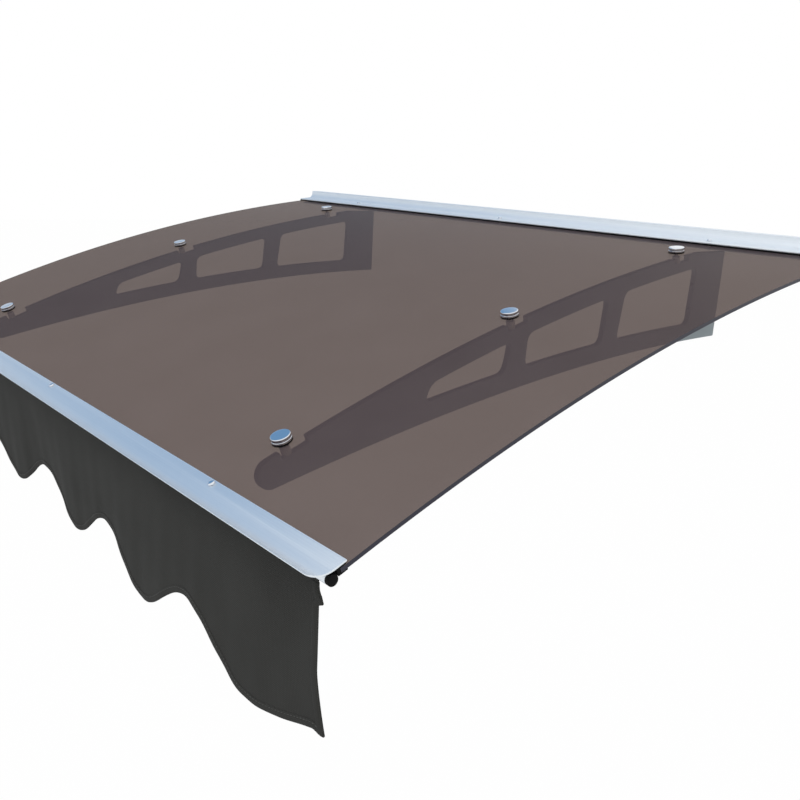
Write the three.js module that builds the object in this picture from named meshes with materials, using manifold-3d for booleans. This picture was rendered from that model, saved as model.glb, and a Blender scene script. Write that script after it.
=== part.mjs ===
// Door awning: a curved polycarbonate sheet on two moulded brackets, clamped between an
// aluminium wall rail and an aluminium gutter rail, with a scalloped fabric valance below.
//
// Millimetres, +Z up. The origin is the middle of the wall rail's back face, +X runs along
// the wall and the wall plane is Y = 0. Sections are drawn as (u, z), where u is the distance
// out from the wall, so u = -Y.

import * as THREE from 'three';
import { mergeVertices } from 'three/addons/utils/BufferGeometryUtils.js';
import Module from 'manifold-3d';

const wasm = await Module();
wasm.setup();

// Canopy sheet: width, thickness, overhang past the brackets, and its bending curve
const SHEET_WIDTH = 1200;
const SHEET_T = 4;
const SHEET_OVERHANG = 61;
const REAR_SLOPE = 0.11;
const REAR_BEND_RADIUS = 3540;
const BEND_TIGHTENING = 4.0e-8;
const SHEET_STEPS = 24;

// Clearances: touching faces, and round a shank in its hole
const JOINT_GAP = 0.3;
const SHANK_GAP = 0.3;
const SHEET_END_GAP = 1.5;

// Wall rail
const REAR_BAR_HEIGHT = 30;
const REAR_BACK_T = 3;
const REAR_WALL = 2.2;
const REAR_LEDGE = 20.4;
const REAR_COVE_FOOT = 30;
const REAR_LIP = 52;
const REAR_JAW = 46;
const REAR_SEAL_T = 1.4;
const REAR_SEAL_WIDTH = 10;
const REAR_SEAL_SHOWS = 1.5;

// Gutter rail
const FLANGE_DEPTH = 10;
const FRONT_WALL = 1.4;
const GUTTER_RADIUS = 28;
const GUTTER_LIP_ANGLE = 40;
const LIP_BEAD = 0.8;
const FRONT_SEAL_T = 1;
const FRONT_SEAL_NOSE = 3;
const FRONT_SEAL_LEG = 6;
const FLANGE_OVERHANG = 3;

// Valance rod with its end caps, and the channel on a web that holds it
const ROD_RADIUS = 3.6;
const ROD_GAP = 0.3;
const CHANNEL_WALL = 1.1;
const CHANNEL_CLEAR = 0.2;
const CHANNEL_DROP = 1.7;
const WEB_T = 2.4;
const SLOT_WIDTH = 3.4;
const CAP_LENGTH = 4;

// Valance cloth
const CLOTH_T = 1.6;
const VALANCE_WIDTH = 1164;
const VALANCE_DROP = 135;
const SCALLOP_PITCH = 214;
const SCALLOP_DEPTH = 49;
const SCALLOP_PEAK = -55;
const CORNER_RUN = 103;
const CORNER_STRETCH = 2;
const FOLD_DEPTH = 9;
const FOLD_PITCH = 956;
const FOLD_START = 179;
const FOLD_SETBACK = 5.4;
const CLOTH_COLUMNS = 66;
const CLOTH_ROWS = 5;

// Brackets
const BRACKET_SPAN = 809;
const BRACKET_T = 8;
const BRACKET_DROP = 3;
const BRACKET_FOOT = 139;
const BRACKET_ARC_RADIUS = 3450;
const BRACKET_REACH = 763;
const NOSE_LEAN = 6;
const RAIL_UPPER = 21;
const RAIL_LOWER = 23;
const WINDOW_CORNER = 11;
const WINDOWS = [
  { name: 'rear', near: 72, far: 240, slant: 4 },
  { name: 'middle', near: 270, far: 415, slant: -5 },
  { name: 'front', near: 448, far: 571, slant: 0 },
];
const WALL_HOLE_RADIUS = 2.2;
const WALL_HOLE_PITCH = 34;

// Cap bolts through the sheet into the brackets
const BOLT_FROM_NOSE = 15;
const BOLT_REACHES = { rear: 120, middle: 444, front: BRACKET_REACH - BOLT_FROM_NOSE };
const BOLT_HEAD_RADIUS = 10.3;
const BOLT_HEAD_H = 6.5;
const BOLT_SHANK_RADIUS = 2.5;
const BOLT_GRIP = 9;
const WASHER_RADIUS = 10.5;
const WASHER_T = 1.2;
const SPACER_RADIUS = 5;
const NOTCH_AHEAD = 8;
const NOTCH_BEHIND = 25;
const NOTCH_DEPTH = 10;

// Rail screws
const SCREW_HEAD_RADIUS = 3.6;
const SCREW_HEAD_H = 2;
const SCREW_SHANK_RADIUS = 1.8;
const SCREW_TIP = 3;
const SCREW_FROM_REAR_LIP = 13;
const SCREW_FROM_FLANGE_EDGE = 4.6;

// Number of sides of round pieces
const BOLT_SIDES = 18;
const HOLE_SIDES = 14;
const SCREW_SIDES = 10;

// Colours and finishes
const FINISHES = {
  sheet: { color: 0x4a3f3b, roughness: 0.12, metalness: 0, transparent: true, opacity: 0.85 },
  aluminium: { color: 0xb8c4cf, roughness: 0.35, metalness: 1 },
  chrome: { color: 0xdfe4ea, roughness: 0.08, metalness: 1 },
  bracket: { color: 0x838f8c, roughness: 0.55, metalness: 0 },
  rubber: { color: 0x1b1b1f, roughness: 0.8, metalness: 0 },
  nylon: { color: 0xdcd7cd, roughness: 0.5, metalness: 0 },
  cloth: { color: 0x3b3b39, roughness: 0.95, metalness: 0 },
};

const awning = new THREE.Group();

// The sheet's top face in section: height, slope, and a point at a height h along its normal
function sheetTop(u) {
  return -(REAR_SLOPE * u + u ** 2 / (2 * REAR_BEND_RADIUS) + BEND_TIGHTENING * u ** 3);
}

function sheetSlope(u) {
  return REAR_SLOPE + u / REAR_BEND_RADIUS + 3 * BEND_TIGHTENING * u ** 2;
}

function sheetFrame(u) {
  const slope = sheetSlope(u);
  const length = Math.hypot(slope, 1);
  const normal = new THREE.Vector2(slope / length, 1 / length);
  const forward = new THREE.Vector2(1 / length, -slope / length);
  return { normal, forward };
}

function offSheet(u, h, along = 0) {
  const { normal, forward } = sheetFrame(u);
  const point = new THREE.Vector2(u, sheetTop(u));
  return point.addScaledVector(normal, h).addScaledVector(forward, along);
}

function sheetRun(from, to, h, steps) {
  const points = [];
  for (let i = 0; i <= steps; i += 1) {
    points.push(offSheet(from + ((to - from) * i) / steps, h));
  }
  return points;
}

// Heights, measured from the sheet's top face, of what lies on it and under it
const UNDERSIDE = -SHEET_T;
const SEAT = UNDERSIDE - JOINT_GAP;
const REAR_FLANGE_H = REAR_SEAL_T + 2 * JOINT_GAP;
const FRONT_FLANGE_H = FRONT_SEAL_T + 2 * JOINT_GAP;
const SHEET_REAR = REAR_BACK_T + SHEET_END_GAP;
const SHEET_FRONT = BRACKET_REACH + SHEET_OVERHANG;
const FLANGE_REAR = SHEET_FRONT + FLANGE_OVERHANG - FLANGE_DEPTH;
const FLANGE_FRONT = SHEET_FRONT + FLANGE_OVERHANG;

// Where the bolts and screws stand
const BRACKET_XS = { left: -BRACKET_SPAN / 2, right: BRACKET_SPAN / 2 };
const SCREW_XS = [BRACKET_XS.left, 0, BRACKET_XS.right];
const REAR_SCREW_U = REAR_LIP - SCREW_FROM_REAR_LIP;
const FRONT_SCREW_U = FLANGE_REAR + SCREW_FROM_FLANGE_EDGE;

// Solids for joining and cutting
function toSolid(geometry) {
  const bare = geometry.index ? geometry.toNonIndexed() : geometry.clone();
  bare.deleteAttribute('normal');
  bare.deleteAttribute('uv');
  const merged = mergeVertices(bare, 1e-4);
  const vertProperties = new Float32Array(merged.attributes.position.array);
  const triVerts = new Uint32Array(merged.index.array);
  return new wasm.Manifold(new wasm.Mesh({ numProp: 3, vertProperties, triVerts }));
}

function toGeometry(solid) {
  const mesh = solid.getMesh();
  const geometry = new THREE.BufferGeometry();
  geometry.setAttribute('position', new THREE.BufferAttribute(mesh.vertProperties, 3));
  geometry.setIndex(new THREE.BufferAttribute(mesh.triVerts, 1));
  const flat = geometry.toNonIndexed();
  flat.computeVertexNormals();
  return flat;
}

function joined(geometries) {
  return toGeometry(geometries.map(toSolid).reduce((whole, piece) => whole.add(piece)));
}

function cut(geometry, tools) {
  return toGeometry(tools.map(toSolid).reduce((whole, tool) => whole.subtract(tool), toSolid(geometry)));
}

function addMesh(name, geometry, finish) {
  const mesh = new THREE.Mesh(geometry, new THREE.MeshStandardMaterial(FINISHES[finish]));
  mesh.name = name;
  awning.add(mesh);
}

// A (u, z) outline pulled along X, centred on x
function alongX(outline, width, x = 0) {
  const settings = { depth: width, bevelEnabled: false, curveSegments: 8 };
  const geometry = new THREE.ExtrudeGeometry(outline, settings);
  const turn = new THREE.Matrix4().makeBasis(
    new THREE.Vector3(0, -1, 0),
    new THREE.Vector3(0, 0, 1),
    new THREE.Vector3(-1, 0, 0),
  );
  return geometry.applyMatrix4(turn).translate(x + width / 2, 0, 0);
}

// A turned piece whose axis stands along the sheet's normal at (x, u)
function standOnSheet(geometry, x, u) {
  const { normal } = sheetFrame(u);
  const axis = new THREE.Vector3(0, -normal.x, normal.y);
  const across = new THREE.Vector3(1, 0, 0);
  const turn = new THREE.Matrix4().makeBasis(across, axis, new THREE.Vector3().crossVectors(across, axis));
  return geometry.applyMatrix4(turn).translate(x, -u, sheetTop(u));
}

function drill(radius, from, to, x, u) {
  const rod = new THREE.CylinderGeometry(radius, radius, to - from, HOLE_SIDES);
  return standOnSheet(rod.translate(0, (from + to) / 2, 0), x, u);
}

function turned(profile, sides) {
  return new THREE.LatheGeometry(profile.map(([r, h]) => new THREE.Vector2(r, h)), sides);
}

function ring(inner, outer, from, to, sides) {
  return turned([[inner, from], [outer, from], [outer, to], [inner, to], [inner, from]], sides);
}

function circlePoints(centre, radius, from, to, steps) {
  const points = [];
  for (let i = 0; i <= steps; i += 1) {
    const angle = from + ((to - from) * i) / steps;
    points.push(new THREE.Vector2(centre.x + radius * Math.cos(angle), centre.y + radius * Math.sin(angle)));
  }
  return points;
}

// A closed path through corner points, with every corner rounded
function roundedPath(corners, radius) {
  const path = new THREE.Path();
  corners.forEach((corner, i) => {
    const before = corners[(i + corners.length - 1) % corners.length];
    const after = corners[(i + 1) % corners.length];
    const reach = Math.min(radius, corner.distanceTo(before) / 2.1, corner.distanceTo(after) / 2.1);
    const enter = corner.clone().addScaledVector(before.clone().sub(corner).normalize(), reach);
    const leave = corner.clone().addScaledVector(after.clone().sub(corner).normalize(), reach);
    if (i === 0) path.moveTo(enter.x, enter.y);
    else path.lineTo(enter.x, enter.y);
    path.quadraticCurveTo(corner.x, corner.y, leave.x, leave.y);
  });
  path.closePath();
  return path;
}

// Every hole through the sheet and the rails, drilled along the sheet's normal
const BOLT_HOLE = BOLT_SHANK_RADIUS + SHANK_GAP;
const SCREW_HOLE = SCREW_SHANK_RADIUS + SHANK_GAP;
const DRILL_SPAN = 14;

function boltDrills() {
  const drills = [];
  for (const x of Object.values(BRACKET_XS)) {
    for (const u of Object.values(BOLT_REACHES)) {
      drills.push(drill(BOLT_HOLE, -DRILL_SPAN, DRILL_SPAN, x, u));
    }
  }
  return drills;
}

function screwDrills(u) {
  return SCREW_XS.map((x) => drill(SCREW_HOLE, -DRILL_SPAN, DRILL_SPAN, x, u));
}

// Canopy sheet
function canopySheet() {
  const top = sheetRun(SHEET_REAR, SHEET_FRONT, 0, SHEET_STEPS);
  const bottom = sheetRun(SHEET_FRONT, SHEET_REAR, UNDERSIDE, SHEET_STEPS);
  const blank = alongX(new THREE.Shape([...top, ...bottom]), SHEET_WIDTH);
  return cut(blank, [...boltDrills(), ...screwDrills(REAR_SCREW_U), ...screwDrills(FRONT_SCREW_U)]);
}

// Wall rail: back plate, ledge and cove above, flange over the sheet and jaw under it
function rearBar() {
  const half = REAR_BAR_HEIGHT / 2;
  const flangeTop = REAR_FLANGE_H + REAR_WALL;
  const coveFoot = offSheet(REAR_COVE_FOOT, flangeTop);
  const lipTop = offSheet(REAR_LIP, flangeTop);
  const lipUnder = offSheet(REAR_LIP, REAR_FLANGE_H);
  const slotTop = offSheet(REAR_BACK_T, REAR_FLANGE_H);
  const slotFoot = offSheet(REAR_BACK_T, SEAT);
  const jawTop = offSheet(REAR_JAW, SEAT);
  const jawUnder = offSheet(REAR_JAW, SEAT - REAR_WALL);
  const jawRoot = offSheet(REAR_BACK_T, SEAT - REAR_WALL);

  const outline = new THREE.Shape();
  outline.moveTo(0, -half);
  outline.lineTo(REAR_BACK_T, -half);
  outline.lineTo(REAR_BACK_T, jawRoot.y);
  outline.lineTo(jawUnder.x, jawUnder.y);
  outline.lineTo(jawTop.x, jawTop.y);
  outline.lineTo(REAR_BACK_T, slotFoot.y);
  outline.lineTo(REAR_BACK_T, slotTop.y);
  outline.lineTo(lipUnder.x, lipUnder.y);
  outline.lineTo(lipTop.x, lipTop.y);
  outline.lineTo(coveFoot.x, coveFoot.y);
  outline.quadraticCurveTo(REAR_LEDGE, coveFoot.y, REAR_LEDGE, half);
  outline.lineTo(0, half);
  outline.closePath();

  const floor = Math.max(slotTop.y, coveFoot.y) + REAR_WALL;
  const chamber = [
    new THREE.Vector2(REAR_BACK_T, half - REAR_WALL),
    new THREE.Vector2(REAR_LEDGE - REAR_WALL, half - REAR_WALL),
    new THREE.Vector2(REAR_LEDGE - REAR_WALL, floor),
    new THREE.Vector2(REAR_BACK_T, floor),
  ];
  outline.holes.push(new THREE.Path(chamber));
  return cut(alongX(outline, SHEET_WIDTH), screwDrills(REAR_SCREW_U));
}

function rearSeal() {
  const front = REAR_LIP + REAR_SEAL_SHOWS;
  const back = front - REAR_SEAL_WIDTH;
  const outline = new THREE.Shape([
    offSheet(back, JOINT_GAP),
    offSheet(front, JOINT_GAP),
    offSheet(front, JOINT_GAP + REAR_SEAL_T),
    offSheet(back, JOINT_GAP + REAR_SEAL_T),
  ]);
  return alongX(outline, SHEET_WIDTH);
}

// Gutter rail: a flange over the sheet runs into a round gutter, with the rod channel on a web below
const GUTTER_START = offSheet(FLANGE_FRONT, FRONT_FLANGE_H);
const GUTTER_TURN = -Math.atan(sheetSlope(FLANGE_FRONT));
const GUTTER_END = THREE.MathUtils.degToRad(GUTTER_LIP_ANGLE);
const GUTTER_CENTRE = new THREE.Vector2(
  GUTTER_START.x - GUTTER_RADIUS * Math.sin(GUTTER_TURN),
  GUTTER_START.y + GUTTER_RADIUS * Math.cos(GUTTER_TURN),
);
const BORE_RADIUS = ROD_RADIUS + ROD_GAP;
const CHANNEL_RADIUS = BORE_RADIUS + CHANNEL_WALL;
const CHANNEL_CENTRE = offSheet(
  SHEET_FRONT,
  FRONT_FLANGE_H - CHANNEL_DROP - CHANNEL_RADIUS,
  FRONT_SEAL_NOSE + 2 * JOINT_GAP + CHANNEL_CLEAR + CHANNEL_RADIUS,
);

function gutterArc(radius, from, to) {
  const quarter = Math.PI / 2;
  return circlePoints(GUTTER_CENTRE, radius, from - quarter, to - quarter, 10);
}

function gutterOutline() {
  const under = gutterArc(GUTTER_RADIUS, GUTTER_TURN, GUTTER_END);
  const inside = gutterArc(GUTTER_RADIUS - FRONT_WALL, GUTTER_END, GUTTER_TURN);
  const flangeUnder = offSheet(FLANGE_REAR, FRONT_FLANGE_H);
  const flangeTop = offSheet(FLANGE_REAR, FRONT_FLANGE_H + FRONT_WALL);
  return new THREE.Shape([flangeUnder, ...under, ...inside, flangeTop]);
}

function channelOutline() {
  const quarter = Math.PI / 2;
  const outerHalf = Math.asin(SLOT_WIDTH / 2 / CHANNEL_RADIUS);
  const boreHalf = Math.asin(SLOT_WIDTH / 2 / BORE_RADIUS);
  const turn = 2 * Math.PI - quarter;
  const outer = circlePoints(CHANNEL_CENTRE, CHANNEL_RADIUS, outerHalf - quarter, turn - outerHalf, 24);
  const bore = circlePoints(CHANNEL_CENTRE, BORE_RADIUS, turn - boreHalf, boreHalf - quarter, 20);
  return new THREE.Shape([...outer, ...bore]);
}

function webOutline() {
  const up = GUTTER_CENTRE.clone().sub(CHANNEL_CENTRE);
  const toWall = up.length() - GUTTER_RADIUS + FRONT_WALL / 2;
  up.normalize();
  const side = new THREE.Vector2(-up.y, up.x).multiplyScalar(WEB_T / 2);
  const foot = CHANNEL_CENTRE.clone().addScaledVector(up, BORE_RADIUS + CHANNEL_WALL / 2);
  const head = CHANNEL_CENTRE.clone().addScaledVector(up, toWall);
  return new THREE.Shape([
    foot.clone().sub(side),
    head.clone().sub(side),
    head.clone().add(side),
    foot.clone().add(side),
  ]);
}

function lipBead() {
  const middle = gutterArc(GUTTER_RADIUS - FRONT_WALL / 2, GUTTER_END, GUTTER_END)[0];
  return new THREE.Shape(circlePoints(middle, LIP_BEAD, 0, 2 * Math.PI * (11 / 12), 11));
}

// The channel stops short of the rail's ends for the rod's caps, or runs past them where the cloth is wider
const CAP_ROOM = CAP_LENGTH + JOINT_GAP;
const ROD_LENGTH = Math.max(SHEET_WIDTH - 2 * CAP_ROOM, VALANCE_WIDTH + 2 * JOINT_GAP);

function frontBar() {
  const blank = joined([
    alongX(gutterOutline(), SHEET_WIDTH),
    alongX(lipBead(), SHEET_WIDTH),
    alongX(webOutline(), ROD_LENGTH),
    alongX(channelOutline(), ROD_LENGTH),
  ]);
  return cut(blank, screwDrills(FRONT_SCREW_U));
}

// Rubber channel round the sheet's front edge
function frontSeal() {
  const inside = JOINT_GAP;
  const outside = JOINT_GAP + FRONT_SEAL_T;
  const nose = JOINT_GAP + FRONT_SEAL_NOSE;
  const u = SHEET_FRONT;
  const outline = new THREE.Shape([
    offSheet(u, outside, -FRONT_SEAL_LEG),
    offSheet(u, inside, -FRONT_SEAL_LEG),
    offSheet(u, inside, inside),
    offSheet(u, UNDERSIDE - inside, inside),
    offSheet(u, UNDERSIDE - inside, -FRONT_SEAL_LEG),
    offSheet(u, UNDERSIDE - outside, -FRONT_SEAL_LEG),
    offSheet(u, UNDERSIDE - outside, nose),
    offSheet(u, outside, nose),
  ]);
  return cut(alongX(outline, SHEET_WIDTH), screwDrills(FRONT_SCREW_U));
}

// The rod is as long as its channel, with a cap at each end
function valanceRod() {
  const rod = new THREE.CylinderGeometry(ROD_RADIUS, ROD_RADIUS, ROD_LENGTH, BOLT_SIDES);
  return rod.rotateZ(Math.PI / 2).translate(0, -CHANNEL_CENTRE.x, CHANNEL_CENTRE.y);
}

function rodCap(side) {
  const plug = new THREE.CylinderGeometry(CHANNEL_RADIUS, CHANNEL_RADIUS, CAP_LENGTH, BOLT_SIDES);
  const x = side * (ROD_LENGTH / 2 + JOINT_GAP + CAP_LENGTH / 2);
  return plug.rotateZ(Math.PI / 2).translate(x, -CHANNEL_CENTRE.x, CHANNEL_CENTRE.y);
}

// The hem's height: regular scallops, with the one at the right corner drawn out
function hemHeight(x) {
  const pastCorner = Math.max(0, x - (VALANCE_WIDTH / 2 - CORNER_RUN));
  const along = x - SCALLOP_PEAK - pastCorner * (1 - 1 / CORNER_STRETCH);
  const scallop = (SCALLOP_DEPTH / 2) * Math.cos((2 * Math.PI * along) / SCALLOP_PITCH);
  return CHANNEL_CENTRE.y - VALANCE_DROP + scallop;
}

// Valance: hangs from the rod through the channel's slot, with a scalloped hem and soft folds
function valance() {
  const top = CHANNEL_CENTRE.y - ROD_RADIUS - JOINT_GAP;
  const slotFoot = CHANNEL_CENTRE.y - CHANNEL_RADIUS;
  const geometry = new THREE.BoxGeometry(VALANCE_WIDTH, CLOTH_T, 1, CLOTH_COLUMNS, 1, CLOTH_ROWS);
  const position = geometry.attributes.position;
  for (let i = 0; i < position.count; i += 1) {
    const x = position.getX(i);
    const down = 0.5 - position.getZ(i);
    const hem = hemHeight(x);
    const z = top + (hem - top) * down;
    const free = Math.max(0, (slotFoot - z) / (slotFoot - hem));
    const swing = Math.sin((2 * Math.PI * (x - FOLD_START)) / FOLD_PITCH);
    const fold = free * (FOLD_SETBACK - FOLD_DEPTH * swing);
    position.setXYZ(i, x, position.getY(i) - CHANNEL_CENTRE.x + fold, z);
  }
  geometry.computeVertexNormals();
  return geometry;
}

// Brackets: the top edge follows the sheet a little below it, with a notch at each bolt
const BRACKET_TOP = -REAR_BAR_HEIGHT / 2 - JOINT_GAP;
const BRACKET_EDGE = SEAT - BRACKET_DROP;

function bracketFoot(u) {
  return -BRACKET_FOOT - u ** 2 / (2 * BRACKET_ARC_RADIUS);
}

function notchPoints(u) {
  const floor = SEAT - NOTCH_DEPTH;
  return [
    offSheet(u, BRACKET_EDGE, NOTCH_AHEAD),
    offSheet(u, floor, NOTCH_AHEAD),
    offSheet(u, floor, -NOTCH_BEHIND),
    offSheet(u, BRACKET_EDGE, -NOTCH_BEHIND),
  ];
}

function bracketTopEdge(from) {
  const reaches = Object.values(BOLT_REACHES).sort((a, b) => b - a);
  const points = [];
  let start = from;
  for (const u of reaches) {
    const notch = notchPoints(u);
    points.push(...sheetRun(start, u + NOTCH_AHEAD, BRACKET_EDGE, 5).slice(1, -1));
    points.push(...notch);
    start = u - NOTCH_BEHIND;
  }
  points.push(...sheetRun(start, 0, BRACKET_EDGE, 5).slice(1));
  return points.filter((p) => p.y < BRACKET_TOP);
}

function bracketWindow({ near, far, slant }) {
  const upper = (u) => offSheet(u, BRACKET_EDGE - RAIL_UPPER);
  const lower = (u) => new THREE.Vector2(u, bracketFoot(u) + RAIL_LOWER);
  const middle = (near + far) / 2;
  const corners = [upper(near), upper(middle), upper(far - slant), lower(far), lower(middle), lower(near)];
  return roundedPath(corners, WINDOW_CORNER);
}

function bracketOutline() {
  const tip = offSheet(BRACKET_REACH + NOSE_LEAN, BRACKET_EDGE);
  const chinU = BRACKET_REACH - NOSE_LEAN;
  const chin = new THREE.Vector2(chinU, bracketFoot(chinU));
  const centre = tip.clone().add(chin).multiplyScalar(0.5);
  const lean = Math.atan2(tip.y - chin.y, tip.x - chin.x);
  const nose = circlePoints(centre, tip.distanceTo(chin) / 2, lean - Math.PI, lean, 12);
  const foot = [];
  for (let i = 0; i < 12; i += 1) {
    const u = (chinU * i) / 12;
    foot.push(new THREE.Vector2(u, bracketFoot(u)));
  }
  const top = bracketTopEdge(BRACKET_REACH + NOSE_LEAN);
  const outline = new THREE.Shape([...foot, ...nose, ...top, new THREE.Vector2(0, BRACKET_TOP)]);
  outline.holes.push(...WINDOWS.map(bracketWindow));
  return outline;
}

function wallHoles(x) {
  const rear = WINDOWS[0];
  const middle = (BRACKET_TOP - BRACKET_FOOT) / 2;
  return [-WALL_HOLE_PITCH / 2, WALL_HOLE_PITCH / 2].map((dz) => {
    const length = 2 * (rear.near + WINDOW_CORNER);
    const hole = new THREE.CylinderGeometry(WALL_HOLE_RADIUS, WALL_HOLE_RADIUS, length, HOLE_SIDES);
    return hole.translate(x, 0, middle + dz);
  });
}

function bracket(x) {
  const floor = SEAT - NOTCH_DEPTH;
  const depth = floor - BOLT_GRIP - JOINT_GAP;
  const bores = Object.values(BOLT_REACHES).map((u) => drill(BOLT_HOLE, depth, 0, x, u));
  return cut(alongX(bracketOutline(), BRACKET_T, x), [...bores, ...wallHoles(x)]);
}

// Cap bolt with a stepped round head, its sealing washer and the sleeve in the notch
function bolt(x, u) {
  const foot = WASHER_T + 2 * JOINT_GAP;
  const top = foot + BOLT_HEAD_H;
  const end = SEAT - NOTCH_DEPTH - BOLT_GRIP;
  const step = BOLT_HEAD_H / 3;
  const neck = BOLT_HEAD_RADIUS - 1;
  const edge = 0.6;
  const profile = [
    [0, end],
    [BOLT_SHANK_RADIUS, end],
    [BOLT_SHANK_RADIUS, foot],
    [BOLT_HEAD_RADIUS, foot],
    [BOLT_HEAD_RADIUS, foot + step],
    [neck, foot + step],
    [neck, foot + step + edge],
    [BOLT_HEAD_RADIUS, foot + step + edge],
    [BOLT_HEAD_RADIUS, top - edge],
    [BOLT_HEAD_RADIUS - edge, top],
    [0, top],
  ];
  return standOnSheet(turned(profile, BOLT_SIDES), x, u);
}

function washer(x, u) {
  return standOnSheet(ring(BOLT_HOLE, WASHER_RADIUS, JOINT_GAP, JOINT_GAP + WASHER_T, BOLT_SIDES), x, u);
}

function spacer(x, u) {
  const floor = SEAT - NOTCH_DEPTH + JOINT_GAP;
  return standOnSheet(ring(BOLT_HOLE, SPACER_RADIUS, floor, SEAT, HOLE_SIDES), x, u);
}

// Pan-head screw through a rail's flange and the sheet
function railScrew(x, u, flangeTop) {
  const foot = flangeTop + JOINT_GAP;
  const end = UNDERSIDE - FRONT_SEAL_T - SCREW_TIP;
  const profile = [
    [0, end - SCREW_TIP / 2],
    [SCREW_SHANK_RADIUS, end],
    [SCREW_SHANK_RADIUS, foot],
    [SCREW_HEAD_RADIUS, foot],
    [SCREW_HEAD_RADIUS, foot + SCREW_HEAD_H / 2],
    [SCREW_HEAD_RADIUS / 2, foot + SCREW_HEAD_H],
    [0, foot + SCREW_HEAD_H],
  ];
  return standOnSheet(turned(profile, SCREW_SIDES), x, u);
}

// Assembly
addMesh('canopy_sheet', canopySheet(), 'sheet');
addMesh('rear_bar', rearBar(), 'aluminium');
addMesh('rear_seal', rearSeal(), 'rubber');
addMesh('front_bar', frontBar(), 'aluminium');
addMesh('front_seal', frontSeal(), 'rubber');
addMesh('valance_rod', valanceRod(), 'rubber');
addMesh('rod_cap_left', rodCap(-1), 'rubber');
addMesh('rod_cap_right', rodCap(1), 'rubber');
addMesh('valance', valance(), 'cloth');

for (const [side, x] of Object.entries(BRACKET_XS)) {
  addMesh(`bracket_${side}`, bracket(x), 'bracket');
  for (const [place, u] of Object.entries(BOLT_REACHES)) {
    addMesh(`bolt_${side}_${place}`, bolt(x, u), 'chrome');
    addMesh(`washer_${side}_${place}`, washer(x, u), 'rubber');
    addMesh(`spacer_${side}_${place}`, spacer(x, u), 'nylon');
  }
}

SCREW_XS.forEach((x, i) => {
  addMesh(`rear_screw_${i + 1}`, railScrew(x, REAR_SCREW_U, REAR_FLANGE_H + REAR_WALL), 'chrome');
  addMesh(`front_screw_${i + 1}`, railScrew(x, FRONT_SCREW_U, FRONT_FLANGE_H + FRONT_WALL), 'chrome');
});

export default awning;
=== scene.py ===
# Door awning, dressed for rendering: a bent smoked sheet on two moulded brackets, clamped between
# two aluminium rails, with a scalloped cloth valance on a rod below the gutter rail.
#
# Metres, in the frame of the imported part: the wall plane is Y = 0, +X runs along the wall and +Z is
# up. Sections are drawn as (u, z), where u is the distance out from the wall, so u = -Y.

import math

import bmesh
import bpy
from mathutils import Matrix, Vector


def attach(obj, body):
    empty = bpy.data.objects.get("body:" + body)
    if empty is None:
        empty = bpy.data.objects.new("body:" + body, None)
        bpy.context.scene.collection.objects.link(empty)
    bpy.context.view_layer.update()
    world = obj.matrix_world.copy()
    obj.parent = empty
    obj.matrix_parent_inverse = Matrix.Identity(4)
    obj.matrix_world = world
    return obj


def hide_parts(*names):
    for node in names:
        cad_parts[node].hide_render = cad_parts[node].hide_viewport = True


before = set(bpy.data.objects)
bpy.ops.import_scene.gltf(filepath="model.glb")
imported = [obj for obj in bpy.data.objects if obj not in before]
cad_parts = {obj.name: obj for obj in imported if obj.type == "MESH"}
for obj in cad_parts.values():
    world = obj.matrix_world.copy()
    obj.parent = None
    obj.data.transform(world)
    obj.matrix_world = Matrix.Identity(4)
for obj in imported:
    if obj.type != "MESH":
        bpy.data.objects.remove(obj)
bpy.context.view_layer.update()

MM = 0.001
SIDES = {"left": -1, "right": 1}

# Canopy sheet and the bending curve of its top face
SHEET_WIDTH = 1200 * MM
SHEET_T = 4 * MM
SHEET_REAR = 4.5 * MM
SHEET_FRONT = 824 * MM
REAR_SLOPE = 0.11
REAR_BEND_RADIUS = 3540 * MM
BEND_TIGHTENING = 0.04
SHEET_COLUMNS = 129
SHEET_WELD = 0.01 * MM
JOINT_GAP = 0.3 * MM
SEAT = -SHEET_T - JOINT_GAP

# Wall rail and its seal
RAIL_EDGE = 0.25 * MM
REAR_HALF_HEIGHT = 15 * MM
REAR_BACK_T = 3 * MM
REAR_WALL = 2.2 * MM
REAR_LEDGE = 20.4 * MM
REAR_COVE_FOOT = 30 * MM
REAR_LIP = 52 * MM
REAR_JAW = 46 * MM
REAR_FLANGE_H = 2 * MM
REAR_SEAL_REAR = 43.5 * MM
REAR_SEAL_FRONT = 53.5 * MM
REAR_SEAL_T = 1.4 * MM
REAR_ROUNDING = 0.7 * MM
REAR_CHAMBER_ROUNDING = 1 * MM
REAR_SEAL_ROUNDING = 0.6 * MM
COVE_STEPS = 12

# Gutter rail, its seal, and the rod with its end caps in the channel below it
FLANGE_REAR = 817 * MM
FLANGE_FRONT = 827 * MM
FRONT_FLANGE_H = 1.6 * MM
FRONT_WALL = 1.4 * MM
GUTTER_RADIUS = 28 * MM
GUTTER_LIP_ANGLE = math.radians(40)
LIP_T = 0.7 * MM
LIP_RUN = 9 * MM
GUTTER_STEPS = 60
FRONT_SEAL_T = 1 * MM
FRONT_SEAL_NOSE = 3 * MM
FRONT_SEAL_LEG = 6 * MM
FRONT_SEAL_ROUNDING = 0.35 * MM
FRONT_SEAL_EDGE = 0.15 * MM
ROD_RADIUS = 3.6 * MM
ROD_EDGE = 0.7 * MM
ROD_SIDES = 48
BORE_RADIUS = 3.9 * MM
CHANNEL_RADIUS = 5 * MM
CHANNEL_BELOW = 5.1 * MM
CHANNEL_AHEAD = 8.8 * MM
CHANNEL_SLOT = 3.4 * MM
WEB_T = 2.4 * MM
CAP_LENGTH = 4 * MM
CAP_RIM = 0.5 * MM
CAP_EASE = 0.2 * MM
ROD_LENGTH = 1191.4 * MM

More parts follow.
